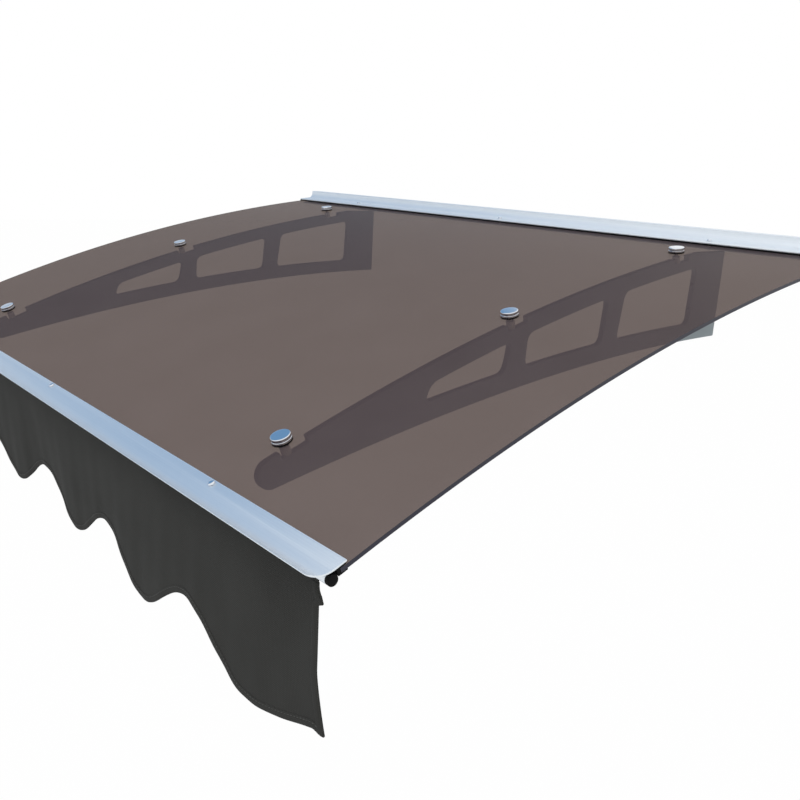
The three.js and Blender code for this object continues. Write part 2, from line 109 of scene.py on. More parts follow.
# Brackets
BRACKET_X = 404.5 * MM
BRACKET_XS = {side: sign * BRACKET_X for side, sign in SIDES.items()}
BRACKET_T = 8 * MM
BRACKET_ROUNDING = 0.9 * MM
BRACKET_CORNER = 1.4 * MM
BRACKET_CLEARANCE = 3 * MM
BRACKET_EDGE = SEAT - BRACKET_CLEARANCE
BRACKET_TOP = -15.3 * MM
BRACKET_FOOT = 139 * MM
BRACKET_ARC_RADIUS = 3450 * MM
BRACKET_REACH = 763 * MM
NOSE_LEAN = 6 * MM
NOSE_STEPS = 36
FOOT_STEPS = 48
TOP_STEPS = 14
RAIL_UPPER = 21 * MM
RAIL_LOWER = 23 * MM
WINDOW_CORNER = 11 * MM
WINDOW_STEPS = 4
# Each window's rear end, front end and slant
WINDOWS = [(72 * MM, 240 * MM, 4 * MM), (270 * MM, 415 * MM, -5 * MM), (448 * MM, 571 * MM, 0.0)]
WALL_HOLE_RADIUS = 2.2 * MM
WALL_HOLE_PITCH = 34 * MM

# Cap bolts with their washers and sleeves, and the rail screws
BOLT_REACHES = {"rear": 120 * MM, "middle": 444 * MM, "front": 748 * MM}
BOLT_HEAD_RADIUS = 10.3 * MM
BOLT_HEAD_H = 6.5 * MM
BOLT_SHANK_RADIUS = 2.5 * MM
BOLT_GRIP = 9 * MM
BOLT_TIP = 0.8 * MM
BOLT_EASE = 0.3 * MM
BOLT_FILLET = 0.9 * MM
BOLT_CROWN = 0.25 * MM
# Shares of the head's radius, and depths under its top
CROWN_POINTS = [(0.6, 0.1 * MM), (0.3, 0.02 * MM), (0, 0)]
GROOVE_WIDTH = 0.6 * MM
GROOVE_DEPTH = 0.4 * MM
GROOVE_EASE = 0.2 * MM
WASHER_RADIUS = 10.5 * MM
WASHER_T = 1.2 * MM
WASHER_EASE = 0.3 * MM
SLEEVE_RADIUS = 5 * MM
SLEEVE_EASE = 0.4 * MM
NOTCH_AHEAD = 8 * MM
NOTCH_BEHIND = 25 * MM
NOTCH_DEPTH = 10 * MM
NOTCH_FLOOR = SEAT - NOTCH_DEPTH
BOLT_END = NOTCH_FLOOR - BOLT_GRIP
SCREW_HEAD_RADIUS = 3.6 * MM
SCREW_HEAD_H = 2 * MM
SCREW_SHANK_RADIUS = 1.8 * MM
SCREW_END = 8 * MM
SCREW_TIP = 1.5 * MM
SCREW_RIM = 0.5 * MM
SCREW_EASE_IN = 0.1 * MM
SCREW_EASE_UP = 0.15 * MM
SCREW_FULLNESS = 0.6
RECESS_LENGTH = 3.6 * MM
RECESS_WIDTH = 0.8 * MM
RECESS_DEPTH = 1.2 * MM
REAR_SCREW_U = 39 * MM
FRONT_SCREW_U = 821.6 * MM
SCREW_TURN_SEED = 7
BOLT_SPOTS = [(x, u) for x in BRACKET_XS.values() for u in BOLT_REACHES.values()]
REAR_SCREW_SPOTS = [(x, REAR_SCREW_U) for x in (-BRACKET_X, 0.0, BRACKET_X)]
FRONT_SCREW_SPOTS = [(x, FRONT_SCREW_U) for x, _ in REAR_SCREW_SPOTS]
BOLT_HOLE = BOLT_SHANK_RADIUS + JOINT_GAP
SCREW_HOLE = SCREW_SHANK_RADIUS + JOINT_GAP
DRILL_SPAN = 14 * MM
DRILL_SIDES = 32

# Valance cloth: cut, scalloped hem, folds and sewing
CLOTH_T = 1.2 * MM
VALANCE_WIDTH = 1164 * MM
VALANCE_DROP = 135 * MM
SCALLOP_PITCH = 214 * MM
SCALLOP_DEPTH = 49 * MM
SCALLOP_PEAK = -55 * MM
CORNER_RUN = 103 * MM
CORNER_STRETCH = 2.0
FOLD_PITCH = 956 * MM
FOLD_START = 179 * MM
FOLD_DEPTH = 9 * MM
FOLD_SETBACK = 5.4 * MM
EAR_OUT = 12.5 * MM
EAR_UP = 6.6 * MM
EAR_DOWN = 5.4 * MM
EAR_OUT_RUN = 60 * MM
EAR_UP_RUN = 64 * MM
EAR_DOWN_RUN = 14 * MM
EAR_START = 0.61
EAR_CURL = 1.3
TAB_OUT = 6 * MM
TAB_TOP = 9 * MM
TAB_FOOT = 22 * MM
TAB_RUN = 9 * MM
# Each crease's depth, pitch and phase
CREASES = [(0.7 * MM, 91 * MM, 1.3), (0.3 * MM, 37 * MM, 0.4)]
CREASE_LEAN = 0.8
CLOTH_COLUMNS = 420
CLOTH_ROWS = 40
HEM_T = 2.4 * MM
HEM_STEP = 0.5 * MM
HEM_INNER = 0.93
SIDE_START = 0.04
SIDE_END = 0.98
SIDE_STEP = 0.01
SIDE_INNER = 4 * MM
STITCH_UP = 5.4 * MM
STITCH_OUT = 0.1 * MM
STITCH_MARGIN = 3
STITCH_LENGTH = 3.4 * MM
STITCH_GAP = 1.2 * MM
THREAD_DIAMETER = 0.7 * MM

# One half of the hem's section: shares of its half thickness, and heights over the cloth's edge
HEM_SECTION = [(0.8, 7 * MM), (1, 6.6 * MM), (1, 0.2 * MM), (0.6, -0.3 * MM), (0, -0.5 * MM)]

# Floor, light and camera
FLOOR_LEVEL = -2.3
FLOOR_SIZE = 60.0
FLOOR_WHITE = 0.985
WORLD_LIGHT = 0.62
KEY_PLACE = (1.6, -2.6, 2.8)
KEY_AIM = (0.0, -0.4, -0.1)
KEY_SIZE = 2.4
KEY_POWER = 75.0
SKY_PLACE = (-4.0, 1.5, 4.0)
SKY_HEIGHT = 8.0
SKY_LENGTH = 12.0
SKY_BLUE = "#739cc3"
# The axis that each fade runs along, its start and end, and the colour at its end
SKY_FADES = [("Z", 2.3, 0.6, "#ccd6e1"), ("Z", 6.0, 8.0, "#ffffff"), ("Y", 2.3, 6.8, "#ffffff")]
EYE_PLACE = (1.0638, -1.1803, 0.0784)
EYE_YAW = math.radians(-48.81)
EYE_PITCH = math.radians(-15.03)
EYE_ROLL = math.radians(3.04)
EYE_LENS = 39.06


def linear(hex_colour, alpha=1.0):
    """An sRGB hex colour as the linear values that the shader takes."""
    values = []
    for start in (1, 3, 5):
        c = int(hex_colour[start:start + 2], 16) / 255
        values.append(c / 12.92 if c <= 0.04045 else ((c + 0.055) / 1.055) ** 2.4)
    return (*values, alpha)


def add_node(tree, kind, inputs=None, **settings):
    """A node with its settings; each input is given a value, or the socket that feeds it."""
    node = tree.nodes.new(kind)
    for name, value in settings.items():
        setattr(node, name, value)
    for key, value in (inputs or {}).items():
        if isinstance(value, bpy.types.NodeSocket):
            tree.links.new(value, node.inputs[key])
        else:
            node.inputs[key].default_value = value
    return node


# The sheet's section

def sheet_top(u):
    return -(REAR_SLOPE * u + u * u / (2 * REAR_BEND_RADIUS) + BEND_TIGHTENING * u ** 3)


def sheet_slope(u):
    return REAR_SLOPE + u / REAR_BEND_RADIUS + 3 * BEND_TIGHTENING * u * u


def off_sheet(u, h, along=0.0):
    """A section point at height h over the sheet's top face, moved along the face."""
    normal = Vector((sheet_slope(u), 1.0)).normalized()
    forward = Vector((normal.y, -normal.x))
    return Vector((u, sheet_top(u))) + h * normal + along * forward


def sheet_run(start, end, h, steps):
    return [off_sheet(u, h) for u in spread(start, end, steps)]


def stand(x, u):
    """Where a fastener stands on the sheet, and the way it points."""
    point = off_sheet(u, 0.0)
    up = off_sheet(u, 1.0) - point
    return Vector((x, -point.x, point.y)), Vector((0.0, -up.x, up.y))


# Outlines

# The most that a rounding takes of an edge, at each of its ends
ROUNDED_SHARE = 0.45


def spread(start, end, steps):
    """Evenly spread values, both ends included."""
    return [start + (end - start) * i / steps for i in range(steps + 1)]


def eased(share):
    """0 below the range, 1 above it and a soft rise between."""
    t = min(1.0, max(0.0, share))
    return t * t * (3 - 2 * t)


def on_circle(centre, radius, angle):
    return Vector((centre.x + radius * math.cos(angle), centre.y + radius * math.sin(angle)))


def arc(centre, radius, start, end, steps):
    """Points on an arc, both ends included, with its angles in radians."""
    return [on_circle(centre, radius, angle) for angle in spread(start, end, steps)]


def bend(start, corner, end, steps):
    """Points on a soft bend, drawn toward the corner between its ends."""
    return [(1 - t) ** 2 * start + 2 * t * (1 - t) * corner + t * t * end for t in spread(0, 1, steps)]


def rounded(corners, radius, steps=3):
    """A closed outline with each corner rounded, as far as the edges beside it allow."""
    points = []
    for i, corner in enumerate(corners):
        before = corners[i - 1] - corner
        after = corners[(i + 1) % len(corners)] - corner
        reach = min(radius, ROUNDED_SHARE * before.length, ROUNDED_SHARE * after.length)
        start = corner + reach * before.normalized()
        points += bend(start, corner, corner + reach * after.normalized(), steps)
    return points


# Meshes

# Points closer than this are one point
WELD = 0.002 * MM


def plain_mesh(holder):
    """The evaluated mesh of an object, which is then removed."""
    evaluated = holder.evaluated_get(bpy.context.evaluated_depsgraph_get())
    mesh = bpy.data.meshes.new_from_object(evaluated)
    bpy.data.objects.remove(holder)
    return mesh


def linked(name, data):
    holder = bpy.data.objects.new(name, data)
    bpy.context.collection.objects.link(holder)
    return holder


def mesh_from(work, name):
    """A new mesh of what was built."""
    mesh = bpy.data.meshes.new(name)
    work.to_mesh(mesh)
    work.free()
    return mesh


def closed(mesh):
    """Merges doubled points and points the faces outward."""
    work = bmesh.new()
    work.from_mesh(mesh)
    bmesh.ops.remove_doubles(work, verts=work.verts, dist=WELD)
    bmesh.ops.recalc_face_normals(work, faces=work.faces)
    work.to_mesh(mesh)
    work.free()
    return mesh


def along_x(name, loops, width, edge, middle=0.0):
    """A (u, z) outline with its holes, pulled along X, with its end edges rounded."""
    curve = bpy.data.curves.new(name, "CURVE")
    curve.dimensions = "2D"
    curve.fill_mode = "BOTH"
    curve.extrude = width / 2 - edge
    curve.bevel_depth = edge
    curve.bevel_resolution = 2
    curve.offset = -edge
    for loop in loops:
        spline = curve.splines.new("POLY")
        spline.points.add(len(loop) - 1)
        for point, place in zip(spline.points, loop):
            point.co = (place.x, place.y, 0.0, 1.0)
        spline.use_cyclic_u = True
    mesh = plain_mesh(linked(name, curve))
    mesh.transform(Matrix(((0, 0, -1, middle), (-1, 0, 0, 0), (0, 1, 0, 0), (0, 0, 0, 1))))
    return closed(mesh)


def skin(work, rings):
    """Faces between each ring of points and the next."""
    for low, high in zip(rings, rings[1:]):
        for i in range(len(low)):
            j = (i + 1) % len(low)
            work.faces.new(list(dict.fromkeys((low[i], low[j], high[j], high[i]))))


def turned(name, profile, sides):
    """A solid of revolution about Z: its (radius, height) points end on the axis or close as a ring."""
    work = bmesh.new()
    rings = []
    for radius, height in profile:
        if radius == 0:
            rings.append([work.verts.new((0, 0, height))] * sides)
            continue
        angles = [2 * math.pi * i / sides for i in range(sides)]
        rings.append([work.verts.new((radius * math.cos(a), radius * math.sin(a), height)) for a in angles])
    if profile[0][0] > 0:
        rings.append(rings[0])
    skin(work, rings)
    return closed(mesh_from(work, name))


def combined(mesh, other, operation):
    """The first mesh joined with the second, or with the second taken out of it."""
    body = linked("boolean_body", mesh)
    tool = linked("boolean_tool", other)
    boolean = body.modifiers.new("boolean", "BOOLEAN")
    boolean.operation = operation
    boolean.solver = "EXACT"
    boolean.object = tool
    result = plain_mesh(body)
    bpy.data.objects.remove(tool)
    return result


def drill(radius, low, high):
    return turned("drill", [(0, low), (radius, low), (radius, high), (0, high)], DRILL_SIDES)


def drilled(mesh, spots, radius, low=-DRILL_SPAN, high=DRILL_SPAN):
    """The mesh with a round hole, square to the sheet, at every (x, u) spot."""
    work = bmesh.new()
    for x, u in spots:
        bit = drill(radius, low, high)
        place, way = stand(x, u)
        bit.transform(Matrix.Translation(place) @ way.to_track_quat("Z", "Y").to_matrix().to_4x4())
        work.from_mesh(bit)
    return combined(mesh, mesh_from(work, "drills"), "DIFFERENCE")


def swept(name, spine, section):
    """A closed strip: the section's (out, up) points carried along (point, out, up) stations."""
    work = bmesh.new()
    rings = []
    for point, out, up in spine:
        rings.append([work.verts.new(point + a * out + b * up) for a, b in section])
    skin(work, rings)
    work.faces.new(rings[0])
    work.faces.new(rings[-1])
    return closed(mesh_from(work, name))


def show(name, mesh, material, nodes=(), crease=35):
    """A finished piece on the awning's one body, in place of the named CAD nodes."""
    piece = linked(name, mesh)
    if material.name not in mesh.materials:
        mesh.materials.append(material)
    mesh.shade_smooth()
    mesh.set_sharp_from_angle(angle=math.radians(crease))
    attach(piece, "root")
    if nodes:
        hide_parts(*nodes)
    return piece


# Materials

# The width of one band of a wave texture at scale 1
WAVE_BAND = math.pi / 10


class Finish:
    """A material under work. Its patterns are sized in metres, and they vary its shader."""

    def __init__(self, name, colour, **values):
        self.material = bpy.data.materials.new(name)
        self.material.use_nodes = True
        self.tree = self.material.node_tree
        self.shader = self.tree.nodes["Principled BSDF"]
        self.shader.inputs["Base Color"].default_value = linear(colour)
        for socket, value in values.items():
            self.shader.inputs[socket.replace("_", " ")].default_value = value
        self.place = self.add("ShaderNodeTexCoord").outputs["Object"]

    def add(self, kind, inputs=None, **settings):
        return add_node(self.tree, kind, inputs, **settings)

    def feed(self, output, socket):
        self.tree.links.new(output, self.shader.inputs[socket])

    def patches(self, size, detail, place=None):
        noise = self.add("ShaderNodeTexNoise", {
            "Vector": self.place if place is None else place, "Scale": 1 / size, "Detail": detail})
        return noise.outputs["Fac"]

    def lines(self, pitch, direction, place=None, distortion=0.0):
        wave = self.add("ShaderNodeTexWave", {
            "Vector": self.place if place is None else place, "Scale": WAVE_BAND / pitch,
            "Distortion": distortion}, bands_direction=direction)
        return wave.outputs["Fac"]

    def tone(self, pattern, low, high):
        mix = self.add("ShaderNodeMix", {0: pattern, 6: linear(low), 7: linear(high)}, data_type="RGBA")
        self.feed(mix.outputs[2], "Base Color")

    def gloss(self, pattern, low, high):
        span = self.add("ShaderNodeMapRange", {"Value": pattern, "To Min": low, "To Max": high})
        self.feed(span.outputs["Result"], "Roughness")

    def bump(self, pattern, strength, depth):
        relief = self.add("ShaderNodeBump", {"Height": pattern, "Strength": strength, "Distance": depth})
        self.feed(relief.outputs["Normal"], "Normal")


def smoked_polycarbonate():
    # Extruded solid sheet, polished by its rollers: a clear brown-grey tint with a thin dust film
    # that dulls the gloss in soft patches about 90 mm across.
    # The tint takes more blue than red from the light that passes, so a little warm light is added.
    # The face colour is partly a painted reflection: the gloss is set almost to nothing, and the sky that
    # the sheet mirrors is painted into its diffuse colour and into both tones of the dust film.
    finish = Finish("smoked_polycarbonate", "#564d50", IOR=1.585, Specular_IOR_Level=0.002, Alpha=0.768)
    film = finish.patches(90 * MM, 4.0)
    finish.tone(film, "#51484b", "#5b5255")
    finish.gloss(film, 0.18, 0.3)
    warm = finish.add("ShaderNodeBsdfTransparent", {"Color": (0.058, 0.029, 0.0, 1.0)})
    both = finish.add("ShaderNodeAddShader", {0: finish.shader.outputs[0], 1: warm.outputs[0]})
    finish.tree.links.new(both.outputs[0], finish.tree.nodes["Material Output"].inputs["Surface"])
    return finish.material


def sawn_sheet_edge():
    # The same sheet cut by a fine saw: matt and almost black, because the tint is seen through its
    # whole width. Saw lines of about 0.4 mm are drawn 1.5 mm apart to show.
    finish = Finish("sawn_sheet_edge", "#15152a", Roughness=0.45)
    cuts = finish.lines(1.5 * MM, "Y", distortion=3.0)
    finish.tone(cuts, "#101024", "#1a1a30")
    finish.bump(cuts, 0.15, 0.1 * MM)
    return finish.material


def anodised_aluminium(name, metallic, roughness):
    # Extruded and satin anodised: straight die lines run along the rail. Lines of about 0.2 mm are
    # drawn 0.9 mm wide to show, and fade over about 250 mm of length. The oxide film scatters part
    # of the light, so the metal isn't a full mirror, and a thicker film is more matt.
    finish = Finish(name, "#e8eff5", Metallic=metallic)
    across = 1 / (0.9 * MM)
    stretch = finish.add("ShaderNodeMapping", {
        "Vector": finish.place, "Scale": (1 / (250 * MM), across, across)})
    die_lines = finish.patches(1.0, 3.0, stretch.outputs["Vector"])
    finish.tone(die_lines, "#e0e7ee", "#f0f6fb")
    change = 0.06
    finish.gloss(die_lines, roughness - change, roughness + change)
    finish.bump(die_lines, 0.12, 0.05 * MM)
    return finish.material


def chrome_plate():
    # Bright chrome on turned steel: a mirror with a faint haze in patches of about 4 mm.
    finish = Finish("chrome_plate", "#e2e6ec", Metallic=1.0)
    finish.gloss(finish.patches(4 * MM, 2.0), 0.05, 0.14)
    return finish.material


def moulded_abs():
    # Injection-moulded grey ABS: a fine spark-eroded grain, with slow flow marks about 120 mm long.
    # Grain of about 0.3 mm is drawn at 1.1 mm to show.
    finish = Finish("moulded_abs", "#8a969b", IOR=1.54)
    grain = finish.patches(1.1 * MM, 2.0)
    finish.tone(finish.patches(120 * MM, 3.0), "#838f94", "#919da2")
    finish.gloss(grain, 0.42, 0.6)
    finish.bump(grain, 0.2, 0.15 * MM)
    return finish.material


def epdm_rubber():
    # Extruded EPDM seal: matt near-black with a slight bloom in patches of about 15 mm.
    finish = Finish("epdm_rubber", "#070708", IOR=1.5, Specular_IOR_Level=0.12)
    bloom = finish.patches(15 * MM, 4.0)
    finish.tone(bloom, "#050506", "#0b0b0d")
    finish.gloss(bloom, 0.55, 0.75)
    return finish.material


def turned_nylon():
    # Natural nylon sleeve: waxy off-white with turning rings, drawn 0.8 mm apart.
    finish = Finish("turned_nylon", "#dcd7cd", IOR=1.53, Roughness=0.45)
    finish.tone(finish.lines(0.8 * MM, "Z"), "#d6d1c7", "#e2ddd3")
    return finish.material


def awning_cloth():
    # Woven solution-dyed polyester: plain weave with a soft fuzz. Threads of about 0.5 mm are drawn
    # 1.8 mm apart to show, over a slow unevenness of the dye about 70 mm across.
    finish = Finish("awning_cloth", "#3d3d3b", Sheen_Weight=0.03, Sheen_Roughness=0.5, Roughness=0.9,
                    Specular_IOR_Level=0.1)
    cut = finish.add("ShaderNodeUVMap", uv_map="cut").outputs["UV"]
    warp = finish.lines(1.8 * MM, "X", cut)
    weft = finish.lines(1.8 * MM, "Y", cut)
    weave = finish.add("ShaderNodeMath", {0: warp, 1: weft}, operation="MULTIPLY").outputs[0]
    dye = finish.patches(70 * MM, 5.0)
    mixed = finish.add("ShaderNodeMath", {0: weave, 1: dye}, operation="ADD").outputs[0]
    shade = finish.add("ShaderNodeMapRange", {"Value": mixed, "From Max": 1.6})
    finish.tone(shade.outputs["Result"], "#2d2d2b", "#40403e")
    finish.bump(weave, 0.35, 0.3 * MM)
    return finish.material


def sewing_thread():
    # Bonded polyester thread, a shade lighter than the cloth, with its twist drawn 1 mm long.
    finish = Finish("sewing_thread", "#434341", Roughness=0.7)
    finish.tone(finish.lines(1 * MM, "DIAGONAL"), "#3d3d3b", "#4a4a48")
    return finish.material


POLYCARBONATE = smoked_polycarbonate()
SHEET_EDGE = sawn_sheet_edge()
ALUMINIUM = anodised_aluminium("anodised_aluminium", metallic=0.85, roughness=0.4)
MATT_ALUMINIUM = anodised_aluminium("matt_anodised_aluminium", metallic=0.62, roughness=0.5)
CHROME = chrome_plate()
ABS = moulded_abs()
RUBBER = epdm_rubber()
NYLON = turned_nylon()
CLOTH = awning_cloth()
THREAD = sewing_thread()


# Geometry Nodes

def node_tree(name, numbers, others=()):
    """A geometry tree with a mesh in and out, named numbers and a material, and its inputs."""
    tree = bpy.data.node_groups.new(name, "GeometryNodeTree")
    tree.interface.new_socket("Geometry", in_out="OUTPUT", socket_type="NodeSocketGeometry")
    sockets = [("Geometry", "NodeSocketGeometry"), *others]
    sockets += [(label, "NodeSocketFloat") for label in numbers] + [("Material", "NodeSocketMaterial")]
    for label, kind in sockets:
        tree.interface.new_socket(label, in_out="INPUT", socket_type=kind)
    return tree, tree.nodes.new("NodeGroupInput").outputs


def end_tree(tree, geometry, material):
    """Ends a tree in real geometry with its material."""
    real = add_node(tree, "GeometryNodeRealizeInstances", {0: geometry})
    dressed = add_node(tree, "GeometryNodeSetMaterial", {"Geometry": real.outputs[0], "Material": material})
    add_node(tree, "NodeGroupOutput", {0: dressed.outputs[0]})


def grown(holder, tree, values):
    """The plain mesh that a tree makes on an object, with the tree's named inputs set."""
    modifier = holder.modifiers.new(tree.name, "NODES")
    modifier.node_group = tree
    for item in tree.interface.items_tree:
        if item.in_out == "INPUT" and item.name in values:
            modifier[item.identifier] = values[item.name]
    return plain_mesh(holder)


def bent_sheet_tree():
    """A flat sheet, bent to its section's rule and given its thickness."""
    tree, given = node_tree("bent_sheet", [
        "Width", "Rear", "Front", "Thickness", "Slope", "Bend Radius", "Tightening"])

    def maths(operation, a, b):
        return add_node(tree, "ShaderNodeMath", {0: a, 1: b}, operation=operation).outputs[0]

    length = maths("SUBTRACT", given["Front"], given["Rear"])
    middle = maths("MULTIPLY", maths("ADD", given["Front"], given["Rear"]), 0.5)
    flat = add_node(tree, "GeometryNodeMeshGrid", {
        "Size X": given["Width"], "Size Y": length, "Vertices X": 2, "Vertices Y": SHEET_COLUMNS})
    position = add_node(tree, "GeometryNodeInputPosition").outputs[0]
    place = add_node(tree, "ShaderNodeSeparateXYZ", {0: position})
    u = maths("SUBTRACT", middle, place.outputs["Y"])
    square = maths("MULTIPLY", u, u)
    arch = maths("DIVIDE", square, maths("MULTIPLY", given["Bend Radius"], 2.0))
    nose = maths("MULTIPLY", maths("MULTIPLY", square, u), given["Tightening"])
    drop = maths("ADD", maths("ADD", maths("MULTIPLY", u, given["Slope"]), arch), nose)
    bent_place = add_node(tree, "ShaderNodeCombineXYZ", {
        "X": place.outputs["X"], "Y": maths("MULTIPLY", u, -1.0), "Z": maths("MULTIPLY", drop, -1.0)})
    bent = add_node(tree, "GeometryNodeSetPosition", {
        "Geometry": flat.outputs["Mesh"], "Position": bent_place.outputs[0]}).outputs[0]
    lower = add_node(tree, "GeometryNodeExtrudeMesh", {
        "Mesh": bent, "Offset Scale": maths("MULTIPLY", given["Thickness"], -1.0), "Individual": False})
    turned_over = add_node(tree, "GeometryNodeFlipFaces", {"Mesh": lower.outputs["Mesh"]}).outputs[0]
    both = add_node(tree, "GeometryNodeJoinGeometry")
    tree.links.new(bent, both.inputs[0])
    tree.links.new(turned_over, both.inputs[0])
    whole = add_node(tree, "GeometryNodeMergeByDistance", {
        "Geometry": both.outputs[0], "Distance": SHEET_WELD})
    end_tree(tree, whole.outputs[0], given["Material"])
    return tree


def fastener_tree():
    """One fastener on each point, standing the way the point says, each turned by chance."""
    tree, given = node_tree("set_fasteners", ["Size"], [
        ("Fastener", "NodeSocketObject"), ("Seed", "NodeSocketInt")])
    shape = add_node(tree, "GeometryNodeObjectInfo", {"Object": given["Fastener"]})
    way = add_node(tree, "GeometryNodeInputNamedAttribute", {"Name": "stand"}, data_type="FLOAT_VECTOR")
    upright = add_node(tree, "FunctionNodeAlignRotationToVector", {"Vector": way.outputs[0]}, axis="Z")
    turn = add_node(tree, "FunctionNodeRandomValue", {2: 0.0, 3: 2 * math.pi, "Seed": given["Seed"]})
    spin = add_node(tree, "FunctionNodeAxisAngleToRotation", {"Angle": turn.outputs[1]})
    rotation = add_node(tree, "FunctionNodeRotateRotation", {
        "Rotation": upright.outputs[0], "Rotate By": spin.outputs[0]}, rotation_space="LOCAL")
    placed = add_node(tree, "GeometryNodeInstanceOnPoints", {
        "Points": given["Geometry"], "Instance": shape.outputs["Geometry"],
        "Rotation": rotation.outputs[0], "Scale": given["Size"]})
    end_tree(tree, placed.outputs[0], given["Material"])
    return tree


def stitch_tree():
    """A run of short stitches along a curve."""
    tree, given = node_tree("sew_stitches", ["Stitch Length", "Stitch Gap", "Thread Diameter"])
    pitch = add_node(tree, "ShaderNodeMath", {
        0: given["Stitch Length"], 1: given["Stitch Gap"]}, operation="ADD")
    spaced = add_node(tree, "GeometryNodeResampleCurve", {
        "Curve": given["Geometry"], "Length": pitch.outputs[0]}, mode="LENGTH")
    bead = add_node(tree, "GeometryNodeMeshUVSphere", {"Segments": 6, "Rings": 4, "Radius": 0.5})
    size = add_node(tree, "ShaderNodeCombineXYZ", {
        "X": given["Stitch Length"], "Y": given["Thread Diameter"], "Z": given["Thread Diameter"]})
    way = add_node(tree, "GeometryNodeInputTangent")
    along = add_node(tree, "FunctionNodeAlignRotationToVector", {"Vector": way.outputs[0]}, axis="X")
    placed = add_node(tree, "GeometryNodeInstanceOnPoints", {
        "Points": spaced.outputs[0], "Instance": bead.outputs["Mesh"],
        "Rotation": along.outputs[0], "Scale": size.outputs[0]})
    end_tree(tree, placed.outputs[0], given["Material"])
    return tree


# Canopy sheet

def canopy_sheet():
    blank = linked("canopy_sheet_blank", bpy.data.meshes.new("canopy_sheet_blank"))
    mesh = grown(blank, bent_sheet_tree(), {
        "Width": SHEET_WIDTH, "Rear": SHEET_REAR, "Front": SHEET_FRONT, "Thickness": SHEET_T,
        "Slope": REAR_SLOPE, "Bend Radius": REAR_BEND_RADIUS, "Tightening": BEND_TIGHTENING,
        "Material": POLYCARBONATE})
    mesh = drilled(mesh, BOLT_SPOTS, BOLT_HOLE)
    mesh = drilled(mesh, REAR_SCREW_SPOTS + FRONT_SCREW_SPOTS, SCREW_HOLE)
    # The near edge is seen from outside. The far one only shows through the sheet, in the sheet's tint.
    mesh.materials.append(SHEET_EDGE)
    for face in mesh.polygons:
        if face.center.x > SHEET_WIDTH / 2 - JOINT_GAP:
            face.material_index = len(mesh.materials) - 1
    show("smoked_sheet", mesh, POLYCARBONATE, ["canopy_sheet"])


# Rails, seals and rod

def wall_rail():
    half = REAR_HALF_HEIGHT
    flange_top = REAR_FLANGE_H + REAR_WALL
    foot = off_sheet(REAR_COVE_FOOT, flange_top)
    slot_top = off_sheet(REAR_BACK_T, REAR_FLANGE_H)
    corners = [
        Vector((0.0, -half)),
        Vector((REAR_BACK_T, -half)),
        Vector((REAR_BACK_T, off_sheet(REAR_BACK_T, SEAT - REAR_WALL).y)),
        off_sheet(REAR_JAW, SEAT - REAR_WALL),
        off_sheet(REAR_JAW, SEAT),
        Vector((REAR_BACK_T, off_sheet(REAR_BACK_T, SEAT).y)),
        Vector((REAR_BACK_T, slot_top.y)),
        off_sheet(REAR_LIP, REAR_FLANGE_H),
        off_sheet(REAR_LIP, flange_top),
    ]
    cove = bend(foot, Vector((REAR_LEDGE, foot.y)), Vector((REAR_LEDGE, half)), COVE_STEPS)
    outline = rounded(corners + cove + [Vector((0.0, half))], REAR_ROUNDING)
    chamber_low = max(slot_top.y, foot.y) + REAR_WALL
    chamber = rounded([
        Vector((REAR_BACK_T, half - REAR_WALL)),
        Vector((REAR_LEDGE - REAR_WALL, half - REAR_WALL)),
        Vector((REAR_LEDGE - REAR_WALL, chamber_low)),
        Vector((REAR_BACK_T, chamber_low)),
    ], REAR_CHAMBER_ROUNDING)
    mesh = along_x("wall_rail", [outline, chamber], SHEET_WIDTH, RAIL_EDGE)
    mesh = drilled(mesh, REAR_SCREW_SPOTS, SCREW_HOLE)
    show("wall_rail", mesh, MATT_ALUMINIUM, ["rear_bar"])


def wall_rail_seal():
    outline = rounded([
        off_sheet(REAR_SEAL_REAR, JOINT_GAP),
        off_sheet(REAR_SEAL_FRONT, JOINT_GAP),
        off_sheet(REAR_SEAL_FRONT, JOINT_GAP + REAR_SEAL_T),
        off_sheet(REAR_SEAL_REAR, JOINT_GAP + REAR_SEAL_T),
    ], REAR_SEAL_ROUNDING, steps=5)
    mesh = along_x("wall_rail_seal", [outline], SHEET_WIDTH, RAIL_EDGE)
    show("wall_rail_seal", mesh, RUBBER, ["rear_seal"])


GUTTER_START = off_sheet(FLANGE_FRONT, FRONT_FLANGE_H)
GUTTER_TURN = -math.atan(sheet_slope(FLANGE_FRONT))
GUTTER_CENTRE = GUTTER_START + GUTTER_RADIUS * Vector((-math.sin(GUTTER_TURN), math.cos(GUTTER_TURN)))
CHANNEL_CENTRE = off_sheet(SHEET_FRONT, -CHANNEL_BELOW, CHANNEL_AHEAD)


def gutter_outline():
    """The flange over the sheet and the round gutter, whose wall thins toward a rounded lip."""
    start, end = GUTTER_TURN - math.pi / 2, GUTTER_LIP_ANGLE - math.pi / 2
    under = arc(GUTTER_CENTRE, GUTTER_RADIUS, start, end, GUTTER_STEPS)
    inside = []
    for angle in spread(end, start, GUTTER_STEPS):
        thinned = eased((LIP_RUN - (end - angle) * GUTTER_RADIUS) / LIP_RUN)
        wall = FRONT_WALL + (LIP_T - FRONT_WALL) * thinned
        inside.append(on_circle(GUTTER_CENTRE, GUTTER_RADIUS - wall, angle))
    lip = arc((under[-1] + inside[0]) / 2, LIP_T / 2, end, end + math.pi, steps=8)
    flange_under = off_sheet(FLANGE_REAR, FRONT_FLANGE_H)
    flange_top = off_sheet(FLANGE_REAR, FRONT_FLANGE_H + FRONT_WALL)
    return [flange_under] + under[:-1] + lip + inside[1:] + [flange_top]


